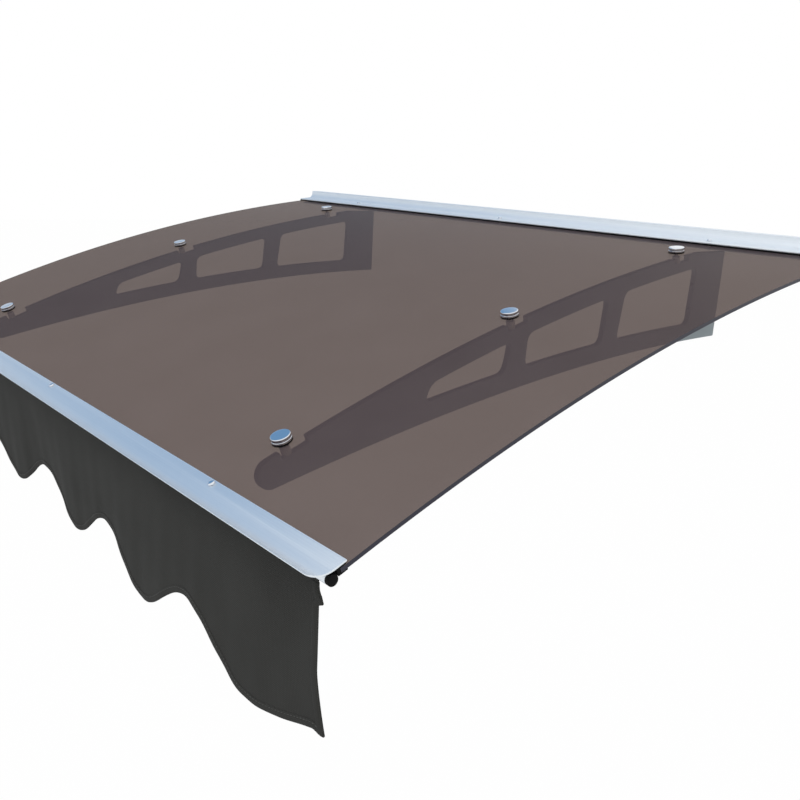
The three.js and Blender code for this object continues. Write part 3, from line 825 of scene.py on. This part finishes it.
def channel_outline():
    """The slotted ring that holds the rod, with the web that it hangs from."""
    way = GUTTER_CENTRE - CHANNEL_CENTRE
    upward = math.atan2(way.y, way.x)
    rearward = Vector((-way.y, way.x)).normalized()
    head = CHANNEL_CENTRE + (way.length - GUTTER_RADIUS + FRONT_WALL / 2) * way.normalized()
    web_half = math.asin(WEB_T / 2 / CHANNEL_RADIUS)
    outer_half = math.asin(CHANNEL_SLOT / 2 / CHANNEL_RADIUS)
    bore_half = math.asin(CHANNEL_SLOT / 2 / BORE_RADIUS)
    down = 3 * math.pi / 2
    turn = 2 * math.pi
    outline = arc(CHANNEL_CENTRE, CHANNEL_RADIUS, upward + web_half, down - outer_half, steps=20)
    outline += arc(CHANNEL_CENTRE, BORE_RADIUS, down - bore_half, down + bore_half - turn, steps=36)
    end = upward + turn - web_half
    outline += arc(CHANNEL_CENTRE, CHANNEL_RADIUS, down + outer_half, end, steps=20)
    return outline + [head - WEB_T / 2 * rearward, head + WEB_T / 2 * rearward]


def gutter_rail():
    gutter = along_x("gutter_rail", [gutter_outline()], SHEET_WIDTH, RAIL_EDGE)
    channel = along_x("rod_channel", [channel_outline()], ROD_LENGTH, RAIL_EDGE)
    mesh = drilled(combined(gutter, channel, "UNION"), FRONT_SCREW_SPOTS, SCREW_HOLE)
    show("gutter_rail", mesh, ALUMINIUM, ["front_bar"])


def gutter_rail_seal():
    inside, outside = JOINT_GAP, JOINT_GAP + FRONT_SEAL_T
    nose = JOINT_GAP + FRONT_SEAL_NOSE
    under = -SHEET_T
    outline = rounded([
        off_sheet(SHEET_FRONT, outside, -FRONT_SEAL_LEG),
        off_sheet(SHEET_FRONT, inside, -FRONT_SEAL_LEG),
        off_sheet(SHEET_FRONT, inside, inside),
        off_sheet(SHEET_FRONT, under - inside, inside),
        off_sheet(SHEET_FRONT, under - inside, -FRONT_SEAL_LEG),
        off_sheet(SHEET_FRONT, under - outside, -FRONT_SEAL_LEG),
        off_sheet(SHEET_FRONT, under - outside, nose),
        off_sheet(SHEET_FRONT, outside, nose),
    ], FRONT_SEAL_ROUNDING)
    mesh = along_x("gutter_rail_seal", [outline], SHEET_WIDTH, FRONT_SEAL_EDGE)
    mesh = drilled(mesh, FRONT_SCREW_SPOTS, SCREW_HOLE)
    show("gutter_rail_seal", mesh, RUBBER, ["front_seal"])


def valance_rod():
    circle = arc(CHANNEL_CENTRE, ROD_RADIUS, 0.0, 2 * math.pi, ROD_SIDES)[:-1]
    mesh = along_x("hanging_rod", [circle], ROD_LENGTH, ROD_EDGE)
    show("hanging_rod", mesh, RUBBER, ["valance_rod"])


def rod_plugs():
    """A moulded plug with an eased rim on each end of the rod."""
    rim_centre = Vector((CHANNEL_RADIUS - CAP_RIM, CAP_LENGTH - CAP_RIM))
    profile = [(0, 0), (CHANNEL_RADIUS - CAP_EASE, 0), (CHANNEL_RADIUS, CAP_EASE)]
    profile += arc(rim_centre, CAP_RIM, 0.0, math.pi / 2, steps=5) + [(0, CAP_LENGTH)]
    for side, sign in SIDES.items():
        mesh = turned(f"rod_plug_{side}", profile, sides=40)
        end = Vector((sign * (ROD_LENGTH / 2 + JOINT_GAP), -CHANNEL_CENTRE.x, CHANNEL_CENTRE.y))
        mesh.transform(Matrix.Translation(end) @ Matrix.Rotation(sign * math.pi / 2, 4, "Y"))
        show(f"rod_plug_{side}", mesh, RUBBER, [f"rod_cap_{side}"])


# Brackets

def bracket_foot(u):
    return -BRACKET_FOOT - u * u / (2 * BRACKET_ARC_RADIUS)


def bracket_top_edge(start):
    """The top edge from the nose to the wall, with a notch at each bolt."""
    points = []
    for u in sorted(BOLT_REACHES.values(), reverse=True):
        points += sheet_run(start, u + NOTCH_AHEAD, BRACKET_EDGE, TOP_STEPS)[1:-1]
        points += [off_sheet(u, BRACKET_EDGE, NOTCH_AHEAD), off_sheet(u, NOTCH_FLOOR, NOTCH_AHEAD)]
        points += [off_sheet(u, NOTCH_FLOOR, -NOTCH_BEHIND), off_sheet(u, BRACKET_EDGE, -NOTCH_BEHIND)]
        start = u - NOTCH_BEHIND
    points += sheet_run(start, 0.0, BRACKET_EDGE, TOP_STEPS)[1:]
    return [p for p in points if p.y < BRACKET_TOP]


def bracket_window(near, far, slant):
    top = sheet_run(near, far - slant, BRACKET_EDGE - RAIL_UPPER, WINDOW_STEPS)
    base = [Vector((u, bracket_foot(u) + RAIL_LOWER)) for u in spread(far, near, WINDOW_STEPS)]
    return rounded(top + base, WINDOW_CORNER, steps=8)


def bracket_outline():
    tip = off_sheet(BRACKET_REACH + NOSE_LEAN, BRACKET_EDGE)
    chin_u = BRACKET_REACH - NOSE_LEAN
    chin = Vector((chin_u, bracket_foot(chin_u)))
    lean = math.atan2(tip.y - chin.y, tip.x - chin.x)
    nose = arc((tip + chin) / 2, (tip - chin).length / 2, lean - math.pi, lean, NOSE_STEPS)
    foot = [Vector((u, bracket_foot(u))) for u in spread(0.0, chin_u, FOOT_STEPS)[:-1]]
    top = bracket_top_edge(BRACKET_REACH + NOSE_LEAN)
    return rounded(foot + nose + top + [Vector((0.0, BRACKET_TOP))], BRACKET_CORNER)


def bracket(side, x):
    loops = [bracket_outline()] + [bracket_window(*window) for window in WINDOWS]
    mesh = along_x(f"moulded_bracket_{side}", loops, BRACKET_T, BRACKET_ROUNDING, x)
    middle = (BRACKET_TOP - BRACKET_FOOT) / 2
    depth = WINDOWS[0][0] + WINDOW_CORNER
    for dz in (-WALL_HOLE_PITCH / 2, WALL_HOLE_PITCH / 2):
        bit = drill(WALL_HOLE_RADIUS, -depth, depth)
        bit.transform(Matrix.Translation((x, 0.0, middle + dz)) @ Matrix.Rotation(math.pi / 2, 4, "X"))
        mesh = combined(mesh, bit, "DIFFERENCE")
    bores = [(x, u) for u in BOLT_REACHES.values()]
    mesh = drilled(mesh, bores, BOLT_HOLE, low=BOLT_END - JOINT_GAP, high=0.0)
    show(f"moulded_bracket_{side}", mesh, ABS, [f"bracket_{side}"])


# Fasteners

def fasteners(name, shape, spots, tree, material, nodes):
    """Sets one shape on every (x, u) spot of the sheet."""
    stations = [stand(x, u) for x, u in spots]
    points = bpy.data.meshes.new(f"{name}_points")
    points.from_pydata([place for place, _ in stations], [], [])
    ways = points.attributes.new("stand", "FLOAT_VECTOR", "POINT")
    for item, (_, way) in zip(ways.data, stations):
        item.vector = way
    pattern = linked(f"{name}_pattern", shape)
    mesh = grown(linked(f"{name}_points", points), tree, {
        "Fastener": pattern, "Size": 1.0, "Seed": SCREW_TURN_SEED, "Material": material})
    bpy.data.objects.remove(pattern)
    show(name, mesh, material, nodes)


def cap_bolt():
    """A turned cap with a crowned top, a rounded rim and a groove round its side, on its shank."""
    foot = WASHER_T + 2 * JOINT_GAP
    top = foot + BOLT_HEAD_H
    groove = foot + BOLT_HEAD_H / 3
    groove_top = groove + GROOVE_WIDTH
    rim, neck = BOLT_HEAD_RADIUS, BOLT_HEAD_RADIUS - GROOVE_DEPTH
    profile = [(0, BOLT_END), (BOLT_SHANK_RADIUS - BOLT_TIP, BOLT_END)]
    profile += [(BOLT_SHANK_RADIUS, BOLT_END + BOLT_TIP), (BOLT_SHANK_RADIUS, foot)]
    profile += [(rim - BOLT_EASE, foot), (rim, foot + BOLT_EASE)]
    profile += [(rim, groove - GROOVE_EASE), (rim - GROOVE_EASE, groove), (neck, groove)]
    profile += [(neck, groove_top), (rim - GROOVE_EASE, groove_top), (rim, groove_top + GROOVE_EASE)]
    fillet_centre = Vector((rim - BOLT_FILLET, top - BOLT_CROWN - BOLT_FILLET))
    profile += arc(fillet_centre, BOLT_FILLET, 0.0, math.pi / 2, steps=6)
    profile += [(rim * share, top - below) for share, below in CROWN_POINTS]
    return turned("cap_bolt", profile, sides=48)


def sealing_ring(name, radius, low, high, edge):
    """A ring round a bolt's shank, with its edges eased."""
    return turned(name, [
        (BOLT_HOLE, low), (radius - edge, low), (radius, low + edge), (radius, high - edge),
        (radius - edge, high), (BOLT_HOLE, high)], sides=40)


def pan_head_screw(flange_top):
    """A pan-head screw with a cross recess, its foot on the rail's flange."""
    foot = flange_top + JOINT_GAP
    rim, top = foot + SCREW_RIM, foot + SCREW_HEAD_H
    profile = [(0, -SCREW_END - SCREW_TIP), (SCREW_SHANK_RADIUS, -SCREW_END), (SCREW_SHANK_RADIUS, foot)]
    profile += [(SCREW_HEAD_RADIUS - SCREW_EASE_IN, foot), (SCREW_HEAD_RADIUS, foot + SCREW_EASE_UP)]
    for a in spread(0.0, math.pi / 2, 7)[:-1]:
        profile.append((SCREW_HEAD_RADIUS * math.cos(a) ** SCREW_FULLNESS, rim + (top - rim) * math.sin(a)))
    head = turned("pan_head_screw", profile + [(0, top)], sides=32)
    work = bmesh.new()
    for length, width in ((RECESS_LENGTH, RECESS_WIDTH), (RECESS_WIDTH, RECESS_LENGTH)):
        bar = bmesh.ops.create_cube(work, size=1.0)["verts"]
        bmesh.ops.scale(work, verts=bar, vec=(length, width, 2 * RECESS_DEPTH))
        bmesh.ops.translate(work, verts=bar, vec=(0, 0, top))
    return combined(head, mesh_from(work, "cross_recess"), "DIFFERENCE")


def all_fasteners():
    tree = fastener_tree()
    names = [f"{side}_{place}" for side in BRACKET_XS for place in BOLT_REACHES]
    washer = sealing_ring("sealing_washer", WASHER_RADIUS, JOINT_GAP, JOINT_GAP + WASHER_T, WASHER_EASE)
    sleeve = sealing_ring("notch_sleeve", SLEEVE_RADIUS, NOTCH_FLOOR + JOINT_GAP, SEAT, SLEEVE_EASE)
    kinds = [
        ("cap_bolts", cap_bolt(), CHROME, "chrome", "bolt"),
        ("sealing_washers", washer, RUBBER, "black_rubber", "washer"),
        ("notch_sleeves", sleeve, NYLON, "nylon", "spacer"),
    ]
    for name, shape, material, slot, node in kinds:
        fasteners(name, shape, BOLT_SPOTS, tree, material, [f"{node}_{n}" for n in names])
    rails = [
        ("rear", REAR_SCREW_SPOTS, REAR_FLANGE_H + REAR_WALL),
        ("front", FRONT_SCREW_SPOTS, FRONT_FLANGE_H + FRONT_WALL),
    ]
    for rail, spots, flange_top in rails:
        nodes = [f"{rail}_screw_{i + 1}" for i in range(len(spots))]
        fasteners(f"{rail}_screws", pan_head_screw(flange_top), spots, tree, CHROME, nodes)


# Valance

CLOTH_TOP = CHANNEL_CENTRE.y - ROD_RADIUS - JOINT_GAP
SLOT_FOOT = CHANNEL_CENTRE.y - CHANNEL_RADIUS


def hem_height(x):
    """Regular scallops, with the one at the right corner drawn out."""
    past_corner = max(0.0, x - (VALANCE_WIDTH / 2 - CORNER_RUN))
    along = x - SCALLOP_PEAK - past_corner * (1 - 1 / CORNER_STRETCH)
    scallop = SCALLOP_DEPTH / 2 * math.cos(2 * math.pi * along / SCALLOP_PITCH)
    return CHANNEL_CENTRE.y - VALANCE_DROP + scallop


def cloth_point(x, down):
    """A point on the hanging cloth: x along the rod, down from 0 at the slot to 1 at the hem.

    The bottom right corner is drawn out and lifted, and its tip curls down again. Near the rod a
    small tab of the right edge stands out.
    """
    hem = hem_height(x)
    z = CLOTH_TOP + (hem - CLOTH_TOP) * down
    free = max(0.0, (SLOT_FOOT - z) / (SLOT_FOOT - hem))
    back = FOLD_SETBACK - FOLD_DEPTH * math.sin(2 * math.pi * (x - FOLD_START) / FOLD_PITCH)
    for depth, pitch, phase in CREASES:
        back += depth * math.sin(2 * math.pi * x / pitch + phase + CREASE_LEAN * free)
    past = x - VALANCE_WIDTH / 2
    low = max(0.0, (down - EAR_START) / (1 - EAR_START)) ** EAR_CURL
    out = EAR_OUT * low * eased(1 + past / EAR_OUT_RUN)
    below = CLOTH_TOP - z
    if below < TAB_FOOT:
        out += TAB_OUT * eased((below - TAB_TOP) / (TAB_FOOT - TAB_TOP)) * eased(1 + past / TAB_RUN)
    lift = EAR_UP * low * eased(1 + past / EAR_UP_RUN)
    droop = EAR_DOWN * low * eased(1 + past / EAR_DOWN_RUN)
    return Vector((x + out, -CHANNEL_CENTRE.x + free * back, z + lift - droop))


def edge_station(edge, before, after, inner):
    """An edge's point, the way out of the cloth's face and the way into the cloth."""
    along = (after - before).normalized()
    inward = inner - edge
    up = (inward - inward.dot(along) * along).normalized()
    return edge, up.cross(along), up


def hem_station(x):
    before, after = cloth_point(x - HEM_STEP, 1.0), cloth_point(x + HEM_STEP, 1.0)
    return edge_station(cloth_point(x, 1.0), before, after, cloth_point(x, HEM_INNER))


def side_station(sign, down):
    x = sign * VALANCE_WIDTH / 2
    before, after = cloth_point(x, down - SIDE_STEP), cloth_point(x, down + SIDE_STEP)
    return edge_station(cloth_point(x, down), before, after, cloth_point(x - sign * SIDE_INNER, down))


def valance():
    xs = spread(-VALANCE_WIDTH / 2, VALANCE_WIDTH / 2, CLOTH_COLUMNS)
    downs = spread(0.0, 1.0, CLOTH_ROWS)
    work = bmesh.new()
    cut_map = work.loops.layers.uv.new("cut")
    rows = [[work.verts.new(cloth_point(x, down)) for x in xs] for down in downs]
    for k in range(CLOTH_ROWS):
        for i in range(CLOTH_COLUMNS):
            corners = [(k, i), (k + 1, i), (k + 1, i + 1), (k, i + 1)]
            face = work.faces.new([rows[a][b] for a, b in corners])
            for loop, (a, b) in zip(face.loops, corners):
                height = (CLOTH_TOP - hem_height(xs[b])) * downs[a]
                loop[cut_map].uv = (xs[b], -height)
    flat_area = sum(face.calc_area() for face in work.faces)
    holder = linked("valance_cloth_flat", mesh_from(work, "valance_cloth"))
    wall = holder.modifiers.new("wall", "SOLIDIFY")
    wall.thickness = CLOTH_T
    wall.offset = 0.0
    cloth = show("valance_cloth", plain_mesh(holder), CLOTH, ["valance"], crease=60)

    # The hem is turned over and sewn, and so are the two side edges
    face = [(HEM_T / 2 * share, up) for share, up in HEM_SECTION]
    fold = face + [(-out, up) for out, up in reversed(face[:-1])]
    pieces = [sewn_fold("hem_fold", [hem_station(x) for x in xs], fold)]
    for side, sign in SIDES.items():
        stations = [side_station(sign, down) for down in spread(SIDE_START, SIDE_END, CLOTH_ROWS)]
        pieces.append(sewn_fold(f"side_fold_{side}", stations, fold))
    pieces.append(hem_stitches(xs))


def sewn_fold(name, stations, section):
    mesh = swept(name, stations, section)
    cut_map = mesh.uv_layers.new(name="cut")
    for loop in mesh.loops:
        place = mesh.vertices[loop.vertex_index].co
        cut_map.data[loop.index].uv = (place.x, place.z)
    return show(name, mesh, CLOTH, crease=50)


def hem_stitches(xs):
    """One row of stitches on each face of the hem."""
    curve = bpy.data.curves.new("stitch_line", "CURVE")
    curve.dimensions = "3D"
    for face in (-1.0, 1.0):
        spline = curve.splines.new("POLY")
        places = []
        for x in xs[STITCH_MARGIN:-STITCH_MARGIN]:
            edge, out, up = hem_station(x)
            places.append(edge + STITCH_UP * up + face * (HEM_T / 2 + STITCH_OUT) * out)
        spline.points.add(len(places) - 1)
        for point, place in zip(spline.points, places):
            point.co = (*place, 1.0)
    mesh = grown(linked("stitch_line", curve), stitch_tree(), {
        "Stitch Length": STITCH_LENGTH, "Stitch Gap": STITCH_GAP, "Thread Diameter": THREAD_DIAMETER,
        "Material": THREAD})
    return show("hem_stitches", mesh, THREAD)


# Floor, light and camera

def stage_panel(name, place, size_x, size_y):
    """A flat panel, sized and then placed by a matrix, and the empty tree of its material."""
    work = bmesh.new()
    bmesh.ops.create_grid(work, x_segments=1, y_segments=1, size=0.5)
    mesh = mesh_from(work, name)
    mesh.transform(place @ Matrix.Diagonal((size_x, size_y, 1.0, 1.0)))
    material = bpy.data.materials.new(name)
    material.use_nodes = True
    material.node_tree.nodes.clear()
    mesh.materials.append(material)
    return linked(name, mesh), material.node_tree


def floor():
    """A pale floor at doorstep level, white to the camera, that still takes the awning's shadow."""
    panel, tree = stage_panel("floor", Matrix.Translation((0, 0, FLOOR_LEVEL)), FLOOR_SIZE, FLOOR_SIZE)
    share = add_node(tree, "ShaderNodeMath", {0: seen_by_eye(tree), 1: FLOOR_WHITE}, operation="MULTIPLY")
    matt = add_node(tree, "ShaderNodeBsdfDiffuse", {"Color": linear("#f4f4f4")})
    white = add_node(tree, "ShaderNodeEmission", {"Color": linear("#ffffff"), "Strength": 1.0})
    mix = add_node(tree, "ShaderNodeMixShader", {
        0: share.outputs[0], 1: matt.outputs[0], 2: white.outputs[0]})
    add_node(tree, "ShaderNodeOutputMaterial", {"Surface": mix.outputs[0]})


def seen_by_eye(tree):
    """1 for rays that show the background: straight, mirrored or through clear material."""
    ray = add_node(tree, "ShaderNodeLightPath").outputs
    mirrored = add_node(tree, "ShaderNodeMath", {
        0: ray["Is Glossy Ray"], 1: ray["Is Transmission Ray"]}, operation="MAXIMUM")
    every = add_node(tree, "ShaderNodeMath", {
        0: ray["Is Camera Ray"], 1: mirrored.outputs[0]}, operation="MAXIMUM")
    return every.outputs[0]


def white_world():
    world = bpy.data.worlds.new("white_studio")
    bpy.context.scene.world = world
    world.use_nodes = True
    tree = world.node_tree
    tree.nodes.clear()
    level = add_node(tree, "ShaderNodeMapRange", {
        "Value": seen_by_eye(tree), "To Min": WORLD_LIGHT, "To Max": 1.0})
    glow = add_node(tree, "ShaderNodeBackground", {
        "Color": linear("#ffffff"), "Strength": level.outputs["Result"]})
    add_node(tree, "ShaderNodeOutputWorld", {"Surface": glow.outputs[0]})


def key_light():
    lamp = bpy.data.lights.new("key", "AREA")
    lamp.shape = "SQUARE"
    lamp.size = KEY_SIZE
    lamp.energy = KEY_POWER
    holder = linked("key", lamp)
    holder.location = KEY_PLACE
    holder.rotation_euler = (Vector(KEY_AIM) - Vector(KEY_PLACE)).to_track_quat("-Z", "Y").to_euler()
    holder.visible_camera = False
    holder.visible_glossy = False


def sky_card():
    """A tall panel beyond the left end that the metal mirrors: sky blue, paler at its edges."""
    upright = Matrix.Translation(SKY_PLACE) @ Matrix.Rotation(math.pi / 2, 4, "Y")
    card, tree = stage_panel("sky_card", upright, SKY_HEIGHT, SKY_LENGTH)
    place = add_node(tree, "ShaderNodeSeparateXYZ", {
        0: add_node(tree, "ShaderNodeTexCoord").outputs["Object"]}).outputs
    colour = linear(SKY_BLUE)
    for axis, start, end, edge in SKY_FADES:
        fade = add_node(tree, "ShaderNodeMapRange", {
            "Value": place[axis], "From Min": start, "From Max": end}, interpolation_type="SMOOTHSTEP")
        colour = add_node(tree, "ShaderNodeMix", {
            0: fade.outputs["Result"], 6: colour, 7: linear(edge)}, data_type="RGBA").outputs[2]
    glow = add_node(tree, "ShaderNodeEmission", {"Color": colour, "Strength": 1.0})
    add_node(tree, "ShaderNodeOutputMaterial", {"Surface": glow.outputs[0]})
    card.visible_camera = False


def camera():
    """The eye stands off the awning's right front corner and looks down along it."""
    level = Vector((math.cos(EYE_YAW), -math.sin(EYE_YAW), 0.0))
    ahead = Vector((math.sin(EYE_YAW), math.cos(EYE_YAW), 0.0))
    look = math.cos(EYE_PITCH) * ahead + math.sin(EYE_PITCH) * Vector((0.0, 0.0, 1.0))
    above = level.cross(look)
    right = math.cos(EYE_ROLL) * level + math.sin(EYE_ROLL) * above
    up = -math.sin(EYE_ROLL) * level + math.cos(EYE_ROLL) * above
    eye = bpy.data.cameras.new("eye")
    eye.lens = EYE_LENS
    eye.sensor_width = 36.0
    eye.clip_start = 0.05
    eye.clip_end = 200.0
    holder = linked("eye", eye)
    turn = Matrix((right, up, -look)).transposed().to_4x4()
    holder.matrix_world = Matrix.Translation(EYE_PLACE) @ turn
    bpy.context.scene.camera = holder


canopy_sheet()
wall_rail()
wall_rail_seal()
gutter_rail()
gutter_rail_seal()
valance_rod()
rod_plugs()
for bracket_side, bracket_x in BRACKET_XS.items():
    bracket(bracket_side, bracket_x)
all_fasteners()
valance()
floor()
white_world()
key_light()
sky_card()
camera()
bpy.context.scene.view_settings.view_transform = "Standard"
